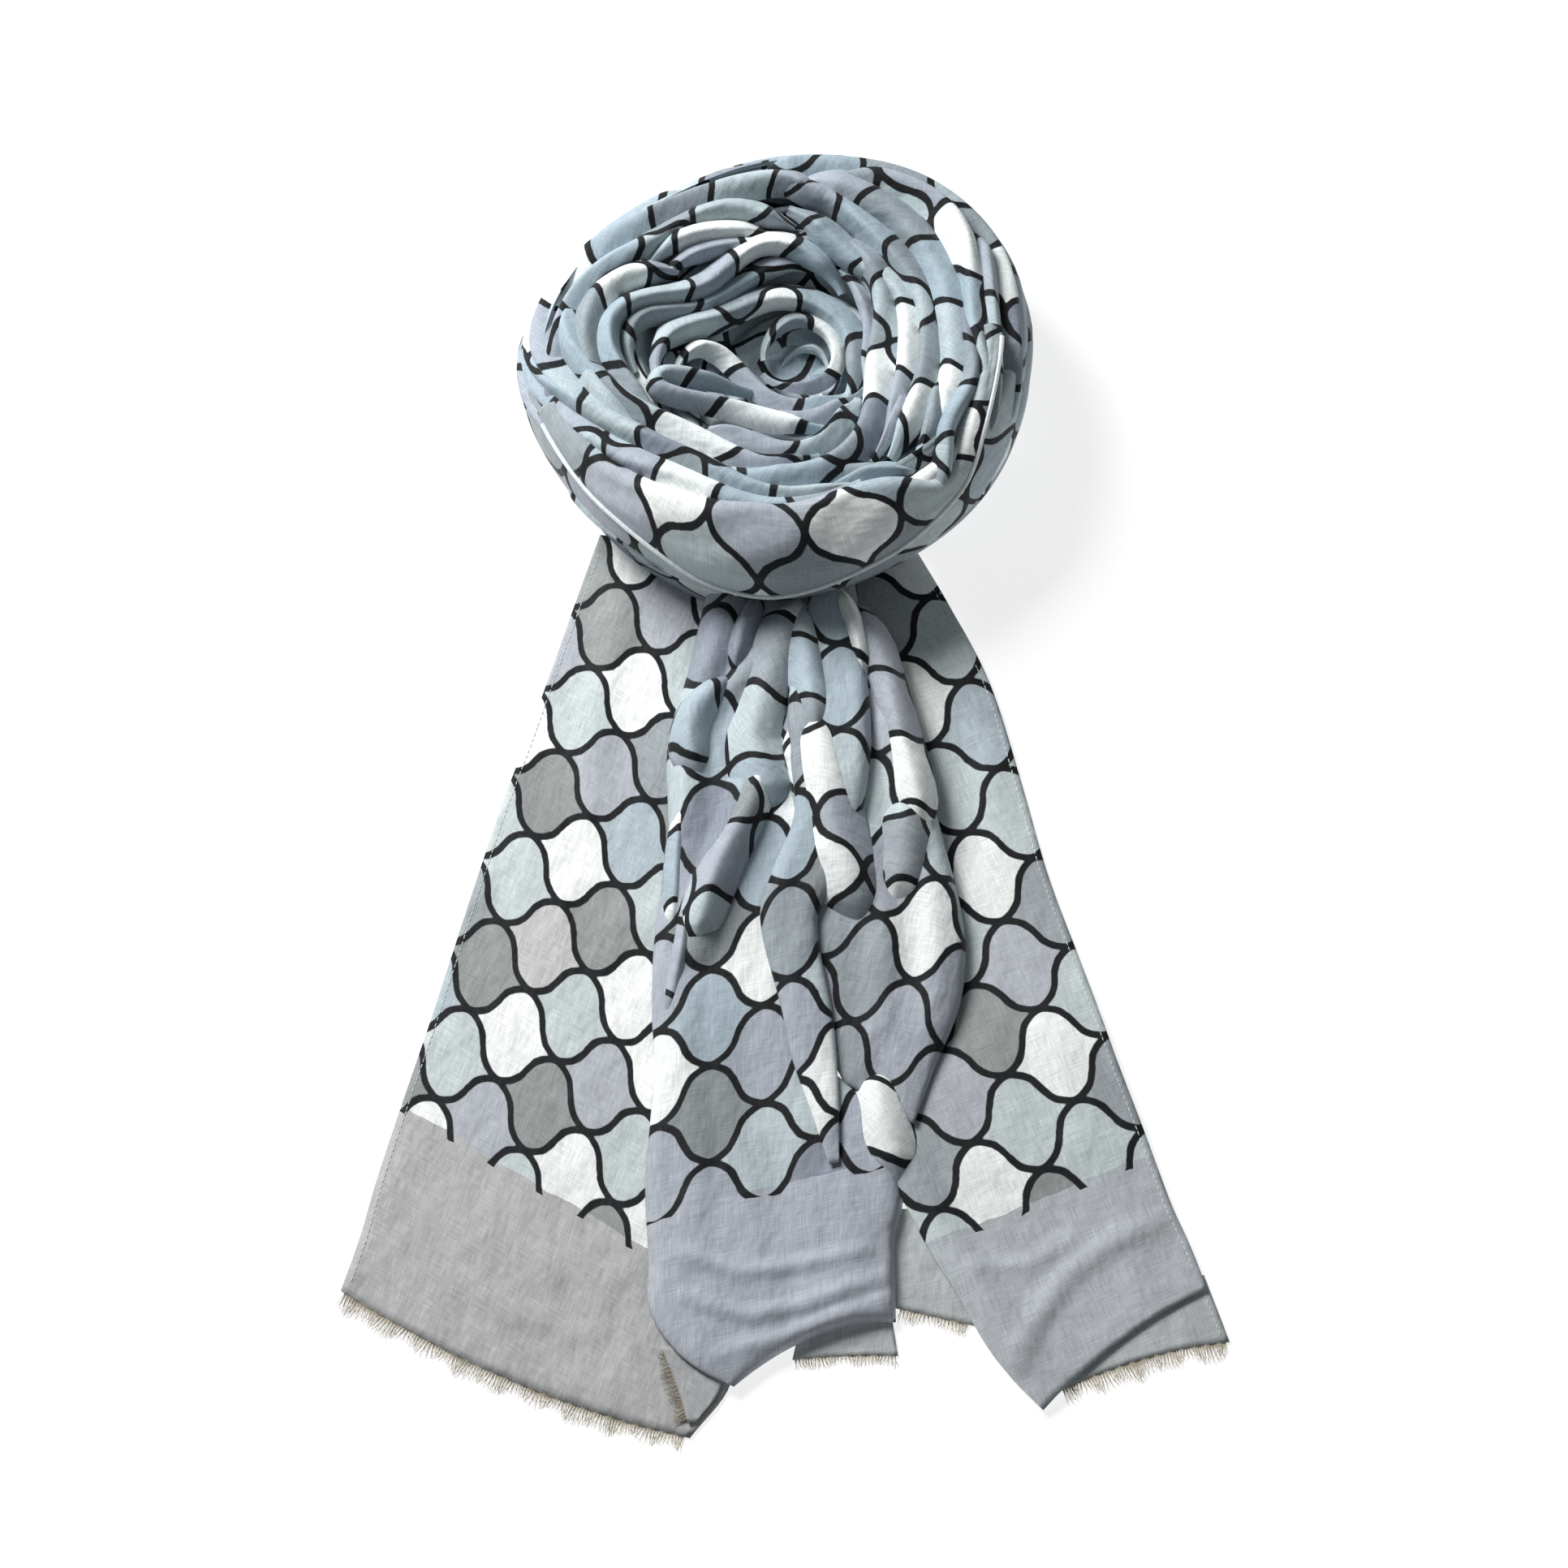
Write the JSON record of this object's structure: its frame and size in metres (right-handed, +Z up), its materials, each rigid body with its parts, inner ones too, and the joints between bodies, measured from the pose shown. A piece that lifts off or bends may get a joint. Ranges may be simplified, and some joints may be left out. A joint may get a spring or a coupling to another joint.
{
  "type": "rolled hijab scarf",
  "caption": "Printed viscose hijab scarf rolled into a round bun, with its last stretch fanned out flat in pleats to a frayed hem.",
  "frame": {"origin": "middle of the bounding box, on the surface the scarf lies on", "axes": "+Z up from the surface, +Y from the frayed hem to the rolled bun, +X to the right seen from the hem"},
  "size_m": [0.4302, 0.7062, 0.079],
  "materials": {
    "printed_cloth": "soft slubbed weave, matt",
    "frayed_thread": "loose matt threads"
  },
  "bodies": {
    "root": {"eye_core": "printed_cloth", "eye_coil": "printed_cloth", "inner_turn": "printed_cloth", "middle_turn": "printed_cloth", "outer_turn": "printed_cloth", "front_band": "printed_cloth", "left_panel": "printed_cloth", "left_corner_flap": "printed_cloth", "centre_pleat": "printed_cloth", "neck_fold": "printed_cloth", "right_pleat": "printed_cloth", "right_panel": "printed_cloth", "back_layer": "printed_cloth", "centre_under_hem": "printed_cloth", "right_under_hem": "printed_cloth", "left_fringe": "frayed_thread", "corner_fringe": "frayed_thread", "centre_fringe": "frayed_thread", "back_fringe": "frayed_thread", "right_fringe": "frayed_thread"}
  },
  "joints": []
}
